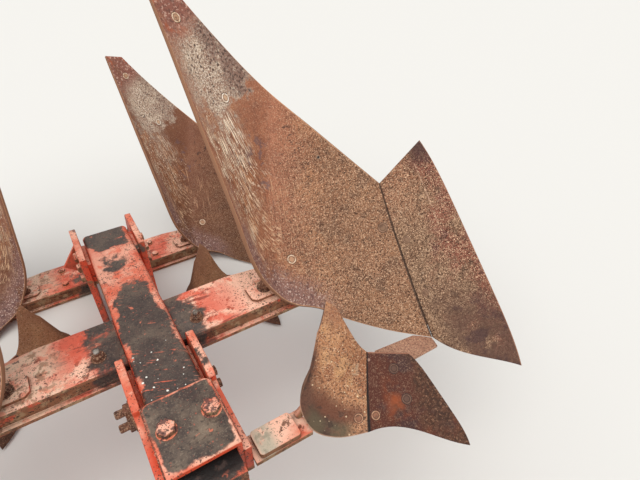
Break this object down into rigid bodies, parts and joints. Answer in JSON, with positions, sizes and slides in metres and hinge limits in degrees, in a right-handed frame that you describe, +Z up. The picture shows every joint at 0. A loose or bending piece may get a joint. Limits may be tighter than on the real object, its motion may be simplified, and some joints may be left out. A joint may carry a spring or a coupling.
{
  "type": "mounted reversible moldboard plough",
  "caption": "Mounted reversible moldboard plough, turned half way, with its right and left bodies out to the sides, skimmers, box beam, headstock and parking stand.",
  "frame": {"origin": "on the floor, at the middle of the plough's bounding box in plan", "axes": "+X to the plough's right, +Y to its rear, +Z up; the turnover axis runs along Y"},
  "size_m": [1.5876, 2.3346, 1.182],
  "materials": {
    "blade_steel": "rust-brown worn steel, fine speckle",
    "shaft_steel": "dull worn steel",
    "greasy_paint": "orange paint under black grease and dirt",
    "stand_paint": "faded orange paint",
    "orange_paint": "faded orange paint, chipped and rusty"
  },
  "bodies": {
    "frame": {"turnover_shaft": "shaft_steel", "sleeve": "greasy_paint", "beam": "greasy_paint", "cheek_right": "orange_paint", "cheek_left": "orange_paint", "step_right": "orange_paint", "step_left": "orange_paint", "spreader": "orange_paint", "front_right_leg": "orange_paint", "front_right_frog": "orange_paint", "front_right_share": "blade_steel", "front_right_moldboard": "blade_steel", "front_right_landside": "blade_steel", "front_right_stay": "orange_paint", "front_right_arm": "orange_paint", "front_right_skimmer_board": "blade_steel", "front_right_skimmer_share": "blade_steel", "front_left_leg": "orange_paint", "front_left_frog": "orange_paint", "front_left_share": "blade_steel", "front_left_moldboard": "blade_steel", "front_left_landside": "blade_steel", "front_left_stay": "orange_paint", "front_left_arm": "orange_paint", "front_left_skimmer_board": "blade_steel", "front_left_skimmer_share": "blade_steel", "rear_right_leg": "orange_paint", "rear_right_frog": "orange_paint", "rear_right_share": "blade_steel", "rear_right_moldboard": "blade_steel", "rear_right_landside": "blade_steel", "rear_right_stay": "orange_paint", "rear_right_arm": "orange_paint", "rear_right_skimmer_board": "blade_steel", "rear_right_skimmer_share": "blade_steel", "rear_left_leg": "orange_paint", "rear_left_frog": "orange_paint", "rear_left_share": "blade_steel", "rear_left_moldboard": "blade_steel", "rear_left_landside": "blade_steel", "rear_left_stay": "orange_paint", "rear_left_arm": "orange_paint", "rear_left_skimmer_board": "blade_steel", "rear_left_skimmer_share": "blade_steel"},
    "headstock": {"bearing_housing": "orange_paint", "tower_right": "orange_paint", "tower_left": "orange_paint", "mast_tie": "orange_paint", "cross_tube": "orange_paint", "cylinder_bracket": "orange_paint"},
    "barrel": {"cylinder_barrel": "orange_paint"},
    "rod": {"cylinder_rod": "shaft_steel"},
    "stand": {"stand": "stand_paint"}
  },
  "joints": [
    {"name": "turnover", "type": "hinge", "parent": "headstock", "child": "frame", "pos_m": [0, 0, 0.412], "axis": [0, 1, 0], "range_deg": [-90, 90]},
    {"name": "barrel_swing", "type": "hinge", "parent": "headstock", "child": "barrel", "pos_m": [0, -1.00832, 0.792], "axis": [0, 1, 0], "range_deg": [-14.8, 14.8]},
    {"name": "rod_slide", "type": "slide", "parent": "barrel", "child": "rod", "axis": [0, 0, -1], "range_m": [0, 0.11]},
    {"name": "stand_slide", "type": "slide", "parent": "headstock", "child": "stand", "axis": [0, 0, 1], "range_m": [0, 0.16]}
  ],
  "couplings": [
    {"joint": "barrel_swing", "follows": "turnover", "ratio": -0.1638}
  ]
}
